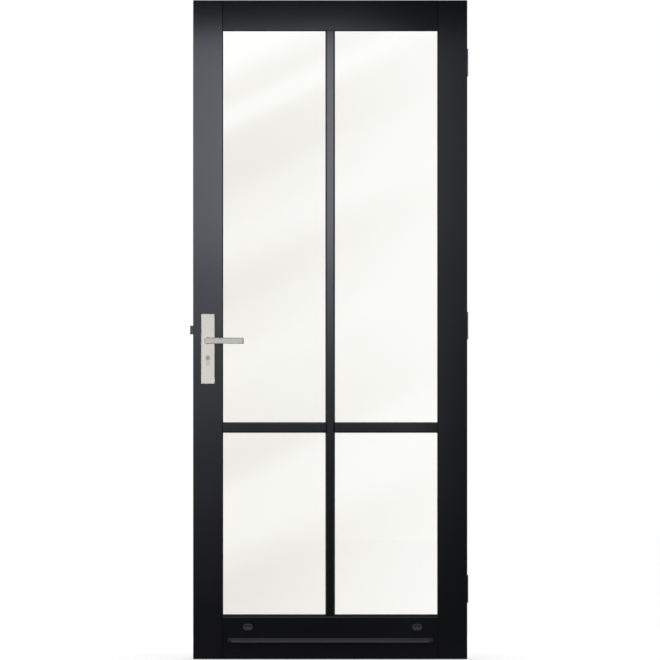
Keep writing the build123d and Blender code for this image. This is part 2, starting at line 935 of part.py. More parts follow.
def bolt_way(low, high, x0, x1):
    """The guided opening for a latch or dead bolt, a little larger than the bolt."""
    half = latch_width / 2 + bolt_hole_play
    return block(x0, x1, -half, half, low - bolt_hole_play, high + bolt_hole_play)


def forend_screws(make):
    """The two screws of the forend, or the space they fill."""
    screw = make(forend_screw_head, forend_screw_radius, forend_screw_length)
    heights = (forend_low + forend_screw_inset, forend_high - forend_screw_inset)
    return [place(screw, (leaf_left, 0, z), (-1, 0, 0)) for z in heights]


def fixing_screw(make):
    """The long screw through the forend that holds the cylinder, or the space it fills."""
    length = spindle_x - leaf_left + fixing_screw_past
    screw = make(fixing_screw_head, fixing_screw_radius, length)
    return place(screw, (leaf_left, 0, fixing_z), (-1, 0, 0))


def forend():
    """The forend plate, flush in the leaf's edge."""
    half = forend_width / 2
    plate = block(leaf_left, case_front, -half, half, forend_low, forend_high)
    plate -= bolt_way(latch_low, latch_high, leaf_left, case_front)
    plate -= bolt_way(bolt_low, bolt_high, leaf_left, case_front)
    return cut_all(plate, forend_screws(countersunk_space) + [fixing_screw(countersunk_space)])


def case_holes():
    """Openings through the case's side walls: the follower's journals and the cylinder."""
    journal = journal_radius + journal_play
    return [
        rod_y(journal, -case_half, case_half, spindle_x, spindle_z),
        profile_prism(cylinder_play, -case_half, case_half),
    ]


def lock_case():
    """The lock case: one side wall with its four edges, open toward the cover."""
    shell = block(case_front, case_back, -case_half, case_inside, case_low, case_high)
    shell -= block(
        case_front + case_wall, case_back - case_wall, -case_inside, case_inside,
        case_low + case_wall, case_high - case_wall,
    )
    inner = case_front + case_wall
    shell -= bolt_way(latch_low, latch_high, case_front, inner)
    shell -= bolt_way(bolt_low, bolt_high, case_front, inner)
    return cut_all(shell, case_holes() + [fixing_screw(countersunk_space)])


def lock_case_cover():
    """The lock case's lid."""
    lid = block(case_front, case_back, case_inside, case_half, case_low, case_high)
    return cut_all(lid, case_holes())


def follower():
    """The follower: a hub with two journals, a square hole and one arm up to the latch."""
    inside = case_inside - hub_play
    hub = rod_y(hub_radius, -inside, inside, spindle_x, spindle_z)
    hub += rod_y(journal_radius, -case_half, case_half, spindle_x, spindle_z)
    arm_half = arm_width / 2
    hub += block(
        spindle_x - arm_half, spindle_x + arm_half, hub_play, inside,
        spindle_z, spindle_z + arm_length,
    )
    half = spindle_size / 2 + spindle_play
    return hub - block(
        spindle_x - half, spindle_x + half, -case_half, case_half,
        spindle_z - half, spindle_z + half,
    )


def return_spring():
    """The coil spring round the follower's hub that lifts the lever back."""
    coil_radius = hub_radius + spring_play + spring_wire_radius
    height = spring_turns * spring_pitch
    path = Helix(spring_pitch, height, coil_radius)
    section = Plane(origin=path @ 0, z_dir=path % 0) * Circle(spring_wire_radius)
    coil = sweep(section, path=path)
    start = -case_inside + spring_play + spring_wire_radius
    return Pos(spindle_x, start, spindle_z) * Rot(-90, 0, 0) * coil


def latch_bolt():
    """The sprung latch: a bevelled head, a tail above the follower and a lug behind its arm."""
    half = latch_width / 2
    nose = leaf_left - latch_throw
    back = nose + latch_length
    outline = [
        (back, -half), (leaf_left, -half), (nose, half - latch_flat), (nose, half), (back, half),
    ]
    head = prism_z(outline, latch_low, latch_high)
    lug_left = spindle_x + arm_width / 2 + arm_lead
    lug_right = lug_left + latch_tail_width
    y0 = hub_play + latch_tail_width / 2
    y1 = y0 + latch_tail_width
    tail_low = spindle_z + latch_above - latch_height / 2 + latch_tail_height
    tail = block(back, lug_right, y0, y1, tail_low, tail_low + latch_tail_height)
    lug = block(lug_left, lug_right, y0, y1, spindle_z + latch_lug_z, tail_low)
    return head + tail + lug


def dead_bolt():
    """The dead bolt, drawn back flush, with a tail under the follower."""
    half = latch_width / 2
    front = leaf_left + bolt_face_inset
    back = front + dead_bolt_length
    head = block(front, back, -half, half, bolt_low, bolt_high)
    tail_half = dead_bolt_tail_width / 2
    end = case_back - case_wall - bolt_hole_play - dead_bolt_tail_width
    return head + block(
        back, end, -tail_half, tail_half, bolt_high - dead_bolt_tail_height, bolt_high
    )


# Profile cylinder
def cylinder_body():
    """The cylinder's body, cut away in the middle for the cam down to a solid bridge."""
    body = profile_prism(0, -cylinder_half, cylinder_half)
    bridge_top = cylinder_z + cylinder_radius - cylinder_depth + bridge_height
    slot_half = cam_slot_width / 2
    body -= block(
        spindle_x - cylinder_radius, spindle_x + cylinder_radius, -slot_half, slot_half,
        bridge_top, cylinder_z + cylinder_radius,
    )
    bore = plug_radius + plug_play
    body -= rod_y(bore, -cylinder_half, cylinder_half, spindle_x, cylinder_z)
    return body - fixing_screw(countersunk_space)


def plug(side):
    """One plug of the cylinder with its keyway."""
    inner = cam_width / 2 if side < 0 else cam_slot_width / 2
    outer = cylinder_half + plug_proud
    turned = side_rod(side, plug_radius, inner, outer, spindle_x, cylinder_z)
    half = keyway_width / 2
    return turned - side_block(
        side, spindle_x - half, spindle_x + half,
        outer - keyway_depth, outer, cylinder_z - keyway_below, cylinder_z + keyway_above,
    )


def cam():
    """The cam between the plugs, its tab hanging inside the profile."""
    half = cam_width / 2
    tab = cam_tab_width / 2
    disc = rod_y(cam_radius, -half, half, spindle_x, cylinder_z)
    tab_low = cylinder_z - cam_reach
    disc += block(spindle_x - tab, spindle_x + tab, -half, half, tab_low + tab, cylinder_z)
    return disc + rod_y(tab, -half, half, spindle_x, tab_low + tab)


# Cuts in the lock stile
def lock_cuts():
    """The mortise, the forend's recess and the holes for spindle, cylinder, screws and bolts."""
    half = forend_width / 2
    mortise_half = case_half + case_play
    return [
        block(leaf_left - past, case_front, -half, half, forend_low, forend_high),
        block(
            case_front, case_back + case_play, -mortise_half, mortise_half,
            case_low - case_play, case_high + case_play,
        ),
        rod_y(neck_radius + bush_wall, y_out, y_in, spindle_x, spindle_z),
        profile_prism(cylinder_hole_play, y_out, y_in),
    ] + forend_screws(countersunk_space) + plate_bolts(countersunk_space)


def wood_screws():
    """All countersunk wood screws: of the leaf flaps, the forend and the drip bar's carrier."""
    screws = forend_screws(countersunk_screw) + drip_screws(countersunk_screw)
    for z in hinge_levels.values():
        screws += hinge_screws(z, countersunk_screw)
    return screws


# All sub-parts, by name
def build():
    """Every sub-part of the door, by the name of its file."""
    envelope = leaf_envelope()
    left_vent = leaf_left + left_vent_from_edge
    right_vent = leaf_right - right_vent_from_edge
    dowels = corner_dowels()
    pins = bead_pins()
    levels = hinge_levels.values()
    stile = stile_blank(envelope)
    hinge_side_cuts = [cut for z in levels for cut in hinge_cuts(z)]
    rail_cuts = vent_ducts(left_vent) + vent_ducts(right_vent) + drip_screws(countersunk_space)

    parts = {
        "lock_stile": cut_all(stile, dowels + pins + lock_cuts()),
        "hinge_stile": cut_all(mirror(stile, Plane.YZ), dowels + pins + hinge_side_cuts),
        "top_rail": cut_all(top_rail_blank(envelope), dowels + pins),
        "bottom_rail": cut_all(bottom_rail_blank(envelope), dowels + pins + rail_cuts),
        "corner_dowels": group(dowels),
        "glass_outer": pane(glass_front),
        "glass_inner": pane(cavity_back),
        "spacer_frame": spacer_frame(),
        "edge_seal": edge_seal(),
        "cavity_bars": group(cavity_bars()),
        "gasket_outer": gasket(lip_back),
        "gasket_inner": gasket(glass_back),
        "setting_blocks": group(setting_blocks()),
        "bead_pins": group(pins),
        "bar_tapes": group(bar_tapes()),
        "vent_cap_left": vent_cap(left_vent),
        "vent_cap_right": vent_cap(right_vent),
        "drip_hood": drip_hood(),
        "drip_end_left": drip_end(-1),
        "drip_end_right": drip_end(1),
        "drip_carrier": drip_carrier(),
        "wood_screws": group(wood_screws()),
        "hinge_pins": group(solid for z in levels for solid in hinge_pin(z)),
        "hinge_bearings": group(solid for z in levels for solid in hinge_bearings(z)),
        "backplate_outer": backplate(-1),
        "backplate_inner": backplate(1),
        "plate_bolts": group(plate_bolts(countersunk_screw)),
        "lever_outer": lever(-1),
        "lever_inner": lever(1),
        "lever_bushes": group([lever_bush(-1), lever_bush(1)]),
        "grub_screws": group([grub_screw(-1), grub_screw(1)]),
        "spindle": spindle(),
        "lock_forend": forend(),
        "lock_case": lock_case(),
        "lock_case_cover": lock_case_cover(),
        "lock_follower": follower(),
        "lever_spring": return_spring(),
        "latch_bolt": latch_bolt(),
        "dead_bolt": dead_bolt(),
        "cylinder_body": cylinder_body(),
        "cylinder_screw": fixing_screw(countersunk_screw),
        "cylinder_plug_outer": plug(-1),
        "cylinder_plug_inner": plug(1),
        "cylinder_cam": cam(),
    }
    for side, bead in glazing_beads().items():
        parts[f"glazing_bead_{side}"] = cut_all(bead, pins)
    for name, bar in outer_bars().items():
        parts[f"outer_bar_{name}"] = bar
    for name, bar in inner_bars().items():
        parts[f"inner_bar_{name}"] = bar
    for name, z in hinge_levels.items():
        parts[f"hinge_leaf_flap_{name}"] = leaf_flap(z)
        parts[f"hinge_frame_flap_{name}"] = frame_flap(z)
    return parts


os.makedirs("parts", exist_ok=True)
for node, shape in build().items():
    export_step(shape, f"parts/{node}.step")
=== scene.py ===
"""Looks of a glazed timber patio door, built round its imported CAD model."""

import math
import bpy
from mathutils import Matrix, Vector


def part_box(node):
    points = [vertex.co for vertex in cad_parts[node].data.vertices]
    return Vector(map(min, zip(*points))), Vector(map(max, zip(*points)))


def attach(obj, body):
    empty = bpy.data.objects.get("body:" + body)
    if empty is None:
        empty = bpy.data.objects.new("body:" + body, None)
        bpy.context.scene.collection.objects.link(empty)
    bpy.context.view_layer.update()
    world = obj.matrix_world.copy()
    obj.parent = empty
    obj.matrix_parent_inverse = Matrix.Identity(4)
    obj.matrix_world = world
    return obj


bl_info = {
    "name": "Patio door looks",
    "version": (1, 0, 0),
    "blender": (4, 5, 0),
    "location": "3D View > Sidebar > Door",
    "description": "Finishes, glazing seals, light and camera for a glazed timber patio door",
    "category": "Object",
}

import bmesh
import bpy
import numpy as np
from bpy.props import FloatProperty, FloatVectorProperty, PointerProperty
from mathutils import Vector

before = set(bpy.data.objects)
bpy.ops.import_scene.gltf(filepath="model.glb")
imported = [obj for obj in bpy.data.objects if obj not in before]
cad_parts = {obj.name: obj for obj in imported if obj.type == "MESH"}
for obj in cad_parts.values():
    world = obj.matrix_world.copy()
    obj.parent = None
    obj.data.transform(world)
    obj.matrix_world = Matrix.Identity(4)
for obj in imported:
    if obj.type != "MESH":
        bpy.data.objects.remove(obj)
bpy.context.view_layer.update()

# Lines of the door, read from the imported model's parts
LEFT_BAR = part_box("outer_bar_left")
RIGHT_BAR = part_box("outer_bar_right")
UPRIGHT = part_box("outer_bar_upright")
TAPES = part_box("bar_tapes")
OUTER_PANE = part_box("glass_outer")
INNER_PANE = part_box("glass_inner")
PLUG_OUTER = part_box("cylinder_plug_outer")
PLUG_X = (PLUG_OUTER[0].x + PLUG_OUTER[1].x) / 2
PLUG_Z = (PLUG_OUTER[0].z + PLUG_OUTER[1].z) / 2
LEAF_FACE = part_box("lock_stile")[0].y
LEAF_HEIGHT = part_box("lock_stile")[1].z

# The top of the painted highlight on the drip bar's lower lip, above the hood's bottom, and the
# bottom rail's nose, which lies below the glass by its slope's fall
LIP_HIGHLIGHT_RISE = 0.0045
SLOPE_FALL = 0.0067
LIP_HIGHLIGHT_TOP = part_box("drip_hood")[0].z + LIP_HIGHLIGHT_RISE
NOSE_TOP = TAPES[0].z - SLOPE_FALL

# How deep every seal is tucked in, the seal on the bottom rail's slope, and points along their arcs
SEAL_TUCK = 0.0002
FOOT_DEPTH, FOOT_HEIGHT, FOOT_BACK, FOOT_ROUND = 0.0105, 0.0045, 0.0002, 0.0008
SEAL_POINTS, FOOT_POINTS = 7, 5

# Panes, which mirror no lamp
PANES = ("glass_outer", "glass_inner")

# The outer handle, its cylinder and the latch, which one low lamp lights
HANDLE_PARTS = ("backplate_outer", "lever_outer", "cylinder_body", "cylinder_plug_outer",
                "latch_bolt")

# The flaps of the three hinges
LEVELS = ("top", "middle", "bottom")
HINGE_FLAPS = tuple(f"hinge_{side}_flap_{level}" for side in ("leaf", "frame") for level in LEVELS)

# All bare metal that shows, which a ring of lamps lights
METAL_PARTS = (*HANDLE_PARTS, "backplate_inner", "lever_inner", "cylinder_plug_inner",
               "lock_forend", "dead_bolt", "hinge_pins", "hinge_bearings", *HINGE_FLAPS)


# Colours
def grey(level):
    """A grey of that level as a colour."""
    return (level, level, level, 1)


def opaque(colour, share=1.0):
    """A colour with alpha, darkened or lightened by a share."""
    return (*[min(1.0, c * share) for c in colour[:3]], 1)


BEECH = (0.52, 0.36, 0.2)
SPACER_GREY = (0.1, 0.1, 0.1)
BLOCK_GREY = (0.3, 0.3, 0.31)
RUBBER_BLACK = (0.012, 0.012, 0.012)
SEALANT_BLACK = (0.004, 0.004, 0.0045)
FOAM_BLACK = (0.02, 0.02, 0.02)
NYLON_BLACK = (0.05, 0.05, 0.05)
CARRIER_METAL = (0.6, 0.6, 0.62)
SCREW_METAL = (0.5, 0.5, 0.49)
ZINC = (0.45, 0.45, 0.44)
SPINDLE_STEEL = (0.45, 0.45, 0.44)
PLAIN_STEEL = (0.56, 0.55, 0.53)
BOLT_NICKEL = (0.5, 0.49, 0.47)
BODY_NICKEL = (0.6, 0.58, 0.53)
PLUG_NICKEL = (0.8, 0.78, 0.72)
BRASS = (0.7, 0.55, 0.28)

# How many features a pattern has per metre along x, y and z
GRAIN_UP = (170, 170, 7)
GRAIN_ACROSS = (7, 170, 170)
GRAIN_EVEN = (40, 40, 40)
BRUSHED_UP = (1500, 1500, 14)
BRUSHED_ACROSS = (14, 1500, 1500)
BRUSHED_HINGE = (1200, 1200, 20)
WOOD_FLECKS = (20, 260, 260)
DRIP_STREAKS = (4, 300, 300)

# The waves in float glass are longer upwards
GLASS_STRETCH = (1.0, 1.0, 0.35)

# Turned rings on a plug's face, in radians per metre of its radius
PLUG_RING_RATE = 9000.0

# How far a bump rises, in metres, where a finish gives no other height
RELIEF = 0.0001

# A painted highlight along the bottom rail's arris, where light catches the rounded edge: its height,
# how softly it ends and how pale it is
ARRIS_HIGHLIGHT_HEIGHT, ARRIS_HIGHLIGHT_FADE, ARRIS_HIGHLIGHT_SHARE = 0.0018, 0.0006, 5.0

# How softly the painted highlight on the drip bar's lip ends
LIP_HIGHLIGHT_FADE = 0.0006

# Depths behind the face where painted shade starts and stops in a vent cap's recess and a plug's
# keyway, and the share of their colour that is left there
RECESS_START, RECESS_STOP, RECESS_SHADE_SHARE = 0.0004, 0.0012, 0.3
KEYWAY_START, KEYWAY_STOP, KEYWAY_SHADE_SHARE = 0.0003, 0.0009, 0.03

# The top rail mirrors a little less than the uprights, because the light rakes across its grain
RAIL_SHINE = 0.34

# The levers are the plates' steel with painted shade, a little darker, and the drip bar's ends are a
# little darker than its hood
LEVER_SHADE_SHARE, DRIP_END_SHARE = 0.8, 0.6


# Shader maths
class Value:
    """A socket that adds Math nodes when it is used in an expression."""

    def __init__(self, tree, socket):
        self.tree = tree
        self.socket = socket

    def maths(self, operation, *others):
        """A Math node on this value and the others."""
        return self.tree.maths(operation, self, *others)

    def __add__(self, other):
        return self.maths("ADD", other)

    def __sub__(self, other):
        return self.maths("SUBTRACT", other)

    def __rsub__(self, other):
        return self.tree.maths("SUBTRACT", other, self)

    def __mul__(self, other):
        return self.maths("MULTIPLY", other)

    def __lt__(self, other):
        return self.maths("LESS_THAN", other)

    def ease(self, low, high):
        """0 below low and 1 above high, with a smooth step between."""
        return self.tree.node(
            "ShaderNodeMapRange",
            {"interpolation_type": "SMOOTHSTEP"},
            {"Value": self, "From Min": low, "From Max": high},
        )

    __radd__ = __add__
    __rmul__ = __mul__


class Tree:
    """A node tree that is written as expressions."""

    def __init__(self, owner):
        owner.use_nodes = True
        self.nodes = owner.node_tree.nodes
        self.links = owner.node_tree.links
        self.nodes.clear()

    def set_socket(self, socket, value):
        """Links a value to a socket, or writes a number or colour on it."""
        if isinstance(value, Value):
            self.links.new(value.socket, socket)
        else:
            socket.default_value = value

    def node(self, kind, settings=None, values=None, output=0):
        """A node of that type: its settings first, then the values or links of its sockets."""
        made = self.nodes.new(kind)
        for name, setting in (settings or {}).items():
            if name == "stops":
                self.set_stops(made.color_ramp, setting)
            else:
                setattr(made, name, setting)
        for name, value in (values or {}).items():
            self.set_socket(made.inputs[name], value)
        return Value(self, made.outputs[output])

    @staticmethod
    def set_stops(ramp, stops):
        """Sets a ramp's stops, each a position and a colour, with smooth steps between."""
        ramp.interpolation = "EASE"
        while len(ramp.elements) < len(stops):
            ramp.elements.new(0.5)
        for element, (position, colour) in zip(ramp.elements, stops):
            element.position = position
            element.color = colour

    def maths(self, operation, *values):
        """A Math node on values or numbers."""
        return self.node("ShaderNodeMath", {"operation": operation}, dict(enumerate(values)))

    def place(self, scale=(1, 1, 1)):
        """Object coordinates, stretched by scale."""
        here = self.node("ShaderNodeTexCoord", output="Object")
        return self.node("ShaderNodeMapping", {}, {"Vector": here, "Scale": scale})

    def axes(self, vector):
        """The x, y and z of a vector."""
        split = self.node("ShaderNodeSeparateXYZ", {}, {"Vector": vector})
        outputs = split.socket.node.outputs
        return [Value(self, outputs[name]) for name in "XYZ"]

    def noise(self, where, scale, detail=2.0, roughness=0.5):
        """Noise from 0 to 1 at those coordinates, with about scale features to each unit."""
        values = {"Vector": where, "Scale": scale, "Detail": detail, "Roughness": roughness}
        return self.node("ShaderNodeTexNoise", {}, values)

    def blend(self, share, first, second, kind="MIX"):
        """A colour from first to second by share, or first with second laid over it by kind."""
        mix = self.node("ShaderNodeMix", {"data_type": "RGBA", "blend_type": kind}).socket.node
        colours = [socket for socket in mix.inputs if socket.type == "RGBA"]
        for socket, value in zip([mix.inputs[0], *colours], (share, first, second)):
            self.set_socket(socket, value)
        return Value(self, next(socket for socket in mix.outputs if socket.type == "RGBA"))

    def mottle(self, share, colour, low, high):
        """A colour whose brightness goes from low to high times its own by share."""
        return self.blend(share, opaque(colour, low), opaque(colour, high))

    def bump(self, height, strength, distance=RELIEF, under=None):
        """A normal bent by a height, on top of another normal."""
        values = {"Height": height, "Strength": strength, "Distance": distance}
        if under is not None:
            values["Normal"] = under
        return self.node("ShaderNodeBump", {}, values)

    def curve(self, value, low, high, stops):
        """A level from 0 to 1 that follows stops, each a value from low to high and its level."""
        limits = {"Value": value, "From Min": low, "From Max": high}
        share = self.node("ShaderNodeMapRange", {}, limits)
        spread = [((at - low) / (high - low), grey(level)) for at, level in stops]
        return self.node("ShaderNodeValToRGB", {"stops": spread}, {"Fac": share})

    def light_path(self, name):
        """One of the light path's flags or counts."""
        return self.node("ShaderNodeLightPath", output=name)

    def seen_direct(self):
        """1 for what the camera sees, also through glass, and 0 for light and mirrored rays."""
        through = self.light_path("Is Transmission Ray")
        mirrored = self.light_path("Glossy Depth")
        return self.light_path("Is Camera Ray") + through * (mirrored < 0.5)

    def surface(self, shader, output="ShaderNodeOutputMaterial"):
        """Ends the tree with that shader; an output node has no sockets of its own to hand on."""
        made = self.nodes.new(output)
        self.links.new(shader.socket, made.inputs["Surface"])


def finish_of(name, values, viewport, fixed=None):
    """A new material: a Principled shader with those values and fixed ones, and a viewport colour."""
    material = bpy.data.materials.new(name)
    material.diffuse_color = (*viewport[:3], 1)
    tree = Tree(material)
    made = {**values(tree), **(fixed or {})}
    tree.surface(tree.node("ShaderNodeBsdfPrincipled", {}, made))
    return material


# Finishes
def paint(name, colour, rough, grain, shine=0.5, highlit=None):
    """Satin paint on timber: fine orange peel over grain that runs along the longest stretch.

    Where a height is given, the arris just below it is painted lighter, as a painted highlight where
    light catches the rounded edge.
    """

    def values(tree):
        along = tree.noise(tree.place(grain), 1.0, detail=4.0, roughness=0.6)
        cloud = tree.noise(tree.place(), 2.3, detail=3.0)
        peel = tree.noise(tree.place(), 620.0, detail=1.5)
        bent = tree.bump(along, strength=0.03)
        bent = tree.bump(peel, strength=0.06, under=bent)
        coat = tree.mottle(cloud, colour, 0.85, 1.15)
        if highlit is not None:
            # Painted highlight: a thin band of the arris below that height is made paler, standing in
            # for light caught on the rounded edge
            _, _, z = tree.axes(tree.place())
            low = highlit - ARRIS_HIGHLIGHT_HEIGHT
            edge = z.ease(low, low + ARRIS_HIGHLIGHT_FADE) * (1.0 - z.ease(highlit, highlit + ARRIS_HIGHLIGHT_FADE))
            coat = tree.blend(edge, coat, opaque(colour, ARRIS_HIGHLIGHT_SHARE))
        return {
            "Base Color": coat,
            "Roughness": rough - 0.03 + cloud * 0.03 + along * 0.03,
            "Normal": bent,
        }

    return finish_of(name, values, colour, {"Specular IOR Level": shine})


def brushed(name, colour, rough, lines):
    """Metal with fine brush lines along the axis in which lines is small."""

    def values(tree):
        strokes = tree.noise(tree.place(lines), 1.0, detail=3.0, roughness=0.65)
        cloud = tree.noise(tree.place(), 9.0)
        return {
            "Base Color": tree.mottle(strokes, colour, 0.93, 1.06),
            "Metallic": 1.0,
            "Roughness": rough - 0.05 + strokes * 0.07 + cloud * 0.05,
            "Normal": tree.bump(strokes, strength=0.06),
        }

    return finish_of(name, values, colour)


def plated(name, colour, rough):
    """Plated or turned metal with a faint mottle and small scratches."""

    def values(tree):
        cloud = tree.noise(tree.place(), 140.0, detail=3.0)
        fine = tree.noise(tree.place(), 900.0)
        return {
            "Base Color": tree.mottle(cloud, colour, 0.9, 1.05),
            "Metallic": 1.0,
            "Roughness": rough + cloud * 0.08 + fine * 0.05,
            "Normal": tree.bump(fine, strength=0.04),
        }

    return finish_of(name, values, colour)


def moulded(name, colour, rough, grain_size):
    """Moulded plastic, rubber or sealant with a fine even grain."""

    def values(tree):
        cloud = tree.noise(tree.place(), 30.0)
        fine = tree.noise(tree.place(), 1.0 / grain_size)
        return {
            "Base Color": tree.mottle(cloud, colour, 0.9, 1.1),
            "Roughness": rough + fine * 0.08,
            "Normal": tree.bump(fine, strength=0.06),
        }

    return finish_of(name, values, colour)


def recess_shaded(name, colour, rough, face):
    """Moulded plastic with painted shade: darker where it lies behind the face, in a recess or a
    hole, where shade falls.
    """

    def values(tree):
        where = tree.place()
        _, y, _ = tree.axes(where)
        cloud = tree.noise(where, 60.0)
        fine = tree.noise(where, 1400.0)
        # Painted shade: the colour darkens with depth behind the face
        depth = y.ease(face + RECESS_START, face + RECESS_STOP)
        plain = tree.mottle(cloud, colour, 0.92, 1.08)
        return {
            "Base Color": tree.blend(depth, plain, opaque(colour, RECESS_SHADE_SHARE)),
            "Roughness": rough + fine * 0.08,
            "Normal": tree.bump(fine, strength=0.06),
        }

    return finish_of(name, values, colour)


def turned_plug(name, colour, rough, face):
    """A cylinder's plug: fine turned rings on its face, and painted shade inside the keyway, which is
    made dark, dull and non-metallic.

    The inner plug's face is the outer one's mirror image, so both depths are worked out.
    """

    def values(tree):
        where = tree.place()
        x, y, z = tree.axes(where)
        radius = tree.maths("SQRT", (x - PLUG_X) * (x - PLUG_X) + (z - PLUG_Z) * (z - PLUG_Z))
        rings = (radius * PLUG_RING_RATE).maths("SINE") * 0.5 + 0.5
        cloud = tree.noise(where, 300.0)
        # Painted shade: behind either face the keyway turns near black, dull and non-metallic
        behind_outer = y.ease(face + KEYWAY_START, face + KEYWAY_STOP)
        behind_inner = (0.0 - y).ease(face + KEYWAY_START, face + KEYWAY_STOP)
        inside = behind_outer * behind_inner
        return {
            "Base Color": tree.blend(inside, opaque(colour), opaque(colour, KEYWAY_SHADE_SHARE)),
            "Metallic": 1.0 - inside,
            "Roughness": rough + cloud * 0.06 + inside * 0.4,
            "Normal": tree.bump(rings, strength=0.03, distance=0.00005),
        }

    return finish_of(name, values, colour)


def drip_coat(colour, lip_highlight_colour):
    """Coated aluminium, with a painted highlight along the drip lip at the bottom, where the lip
    faces the light.
    """

    def values(tree):
        where = tree.place()
        _, _, z = tree.axes(where)
        along = tree.noise(tree.place(DRIP_STREAKS), 1.0, detail=3.0)
        fine = tree.noise(where, 700.0)
        # Painted highlight: below the lip's top the hood takes the paler lip colour
        above_lip_highlight = z.ease(LIP_HIGHLIGHT_TOP - LIP_HIGHLIGHT_FADE, LIP_HIGHLIGHT_TOP + LIP_HIGHLIGHT_FADE)
        body = tree.mottle(along, colour, 0.92, 1.08)
        return {
            "Base Color": tree.blend(above_lip_highlight, opaque(lip_highlight_colour), body),
            "Roughness": 0.36 + along * 0.06,
            "Normal": tree.bump(fine, strength=0.04),
        }

    return finish_of("drip_coat", values, colour)


def bare_wood(name, colour):
    """Plain beech with short flecks along the dowel."""

    def values(tree):
        flecks = tree.noise(tree.place(WOOD_FLECKS), 1.0, detail=4.0, roughness=0.6)
        return {
            "Base Color": tree.mottle(flecks, colour, 0.7, 1.2),
            "Roughness": 0.6 + flecks * 0.1,
            "Normal": tree.bump(flecks, strength=0.1, distance=0.0003),
        }

    return finish_of(name, values, colour)


def float_glass(name, tint):
    """Clear float glass with the faint waves of its drawing."""

    def values(tree):
        waves = tree.noise(tree.place(GLASS_STRETCH), 4.0, detail=1.0)
        return {
            "Base Color": opaque(tint),
            "Roughness": 0.0,
            "IOR": 1.5,
            "Transmission Weight": 1.0,
            "Normal": tree.bump(waves, strength=0.05, distance=0.0004),
        }

    return finish_of(name, values, tint)


def dress(material, *names):
    """Gives CAD nodes a material in place of their own."""
    for name in names:
        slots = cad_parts[name].material_slots
        for slot in slots:
            slot.material = material
        if not slots:
            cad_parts[name].data.materials.append(material)


# Pieces worked out with numpy
def swept_frame(opening, profile, face, outward):
    """Points and faces of a closed profile carried round a rectangle.

    Corner c of the rectangle has the signs a and b. The point of profile p = (inset, height) there is
    x = middle + a * (half width - inset), z = middle + b * (half height - inset),
    y = face + outward * height, so the corners are mitred.
    """
    x0, x1, z0, z1 = opening
    inset, height = np.array(profile).T
    a = np.array([-1.0, 1.0, 1.0, -1.0])[:, None]
    b = np.array([-1.0, -1.0, 1.0, 1.0])[:, None]
    x = (x0 + x1) / 2 + a * ((x1 - x0) / 2 - inset)
    z = (z0 + z1) / 2 + b * ((z1 - z0) / 2 - inset)
    y = np.broadcast_to(face + outward * height, x.shape)
    points = np.stack([x, y, z], -1).reshape(-1, 3)
    n = len(profile)
    corner, step = np.meshgrid(np.arange(4), np.arange(n), indexing="ij")
    here = corner * n + step
    beside = corner * n + (step + 1) % n
    ahead = (corner + 1) % 4 * n + step
    beyond = (corner + 1) % 4 * n + (step + 1) % n
    faces = np.stack([here, beside, beyond, ahead], -1).reshape(-1, 4)
    return points, faces


def tooled_fillet(width, height):
    """A sealant bead's section: up the wall, then down a hollow arc to the glass.

    The arc is a quarter ellipse about (width, height), at angles from 180 to 270 degrees.
    """
    angle = np.linspace(math.pi, 1.5 * math.pi, SEAL_POINTS)
    arc = np.stack([width + width * np.cos(angle), height + height * np.sin(angle)], -1)
    return [(-SEAL_TUCK, -SEAL_TUCK), (-SEAL_TUCK, height), *map(tuple, arc), (width, -SEAL_TUCK)]


def bar_along(x0, x1, section):
    """Points and faces of a closed (y, z) section drawn from x0 to x1, with flat ends.

    Point (end, p) is (x of the end, y of p, z of p).
    """
    y, z = np.array(section).T
    n = len(section)
    x = np.repeat([x0, x1], n)
    points = np.stack([x, np.tile(y, 2), np.tile(z, 2)], -1)
    here = np.arange(n)
    ahead = (here + 1) % n
    sides = np.stack([here, ahead, ahead + n, here + n], -1)
    return points, [*sides.tolist(), here[::-1].tolist(), (here + n).tolist()]


def foot_section():
    """The section of the seal on the bottom rail's slope, with a rounded upper front edge.

    The rounded edge is a quarter circle of FOOT_ROUND, at angles from 180 to 90 degrees.
    """
    front = OUTER_PANE[0].y - FOOT_DEPTH
    top = TAPES[0].z
    angle = np.linspace(math.pi, 0.5 * math.pi, FOOT_POINTS)
    arc_y = front + FOOT_ROUND + FOOT_ROUND * np.cos(angle)
    arc_z = top - FOOT_ROUND + FOOT_ROUND * np.sin(angle)
    back = OUTER_PANE[0].y + SEAL_TUCK
    return [(back, top), (back, top - FOOT_BACK), (front, top - FOOT_HEIGHT),
            *zip(arc_y.tolist(), arc_z.tolist())]


def piece(name, parts, material, body):
    """A mesh piece from several sets of points and faces, riding on a body."""
    points, faces, offset = [], [], 0
    for some_points, some_faces in parts:
        points.append(some_points)
        faces += [[index + offset for index in face] for face in some_faces]
        offset += len(some_points)
    mesh = bpy.data.meshes.new(name)
    mesh.from_pydata(np.concatenate(points), [], faces)
    shape = bmesh.new()
    shape.from_mesh(mesh)
    bmesh.ops.recalc_face_normals(shape, faces=shape.faces)
    shape.to_mesh(mesh)
    shape.free()
    mesh.materials.append(material)
    made = bpy.data.objects.new(name, mesh)
    bpy.context.scene.collection.objects.link(made)
    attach(made, body)
    return made


def lights():
    """The four glass openings between sight edges and bars, as (x0, x1, z0, z1)."""
    columns = [(LEFT_BAR[0].x, UPRIGHT[0].x), (UPRIGHT[1].x, RIGHT_BAR[1].x)]
    rows = [(TAPES[0].z, LEFT_BAR[0].z), (LEFT_BAR[1].z, TAPES[1].z)]
    return [(*column, *row) for column in columns for row in rows]


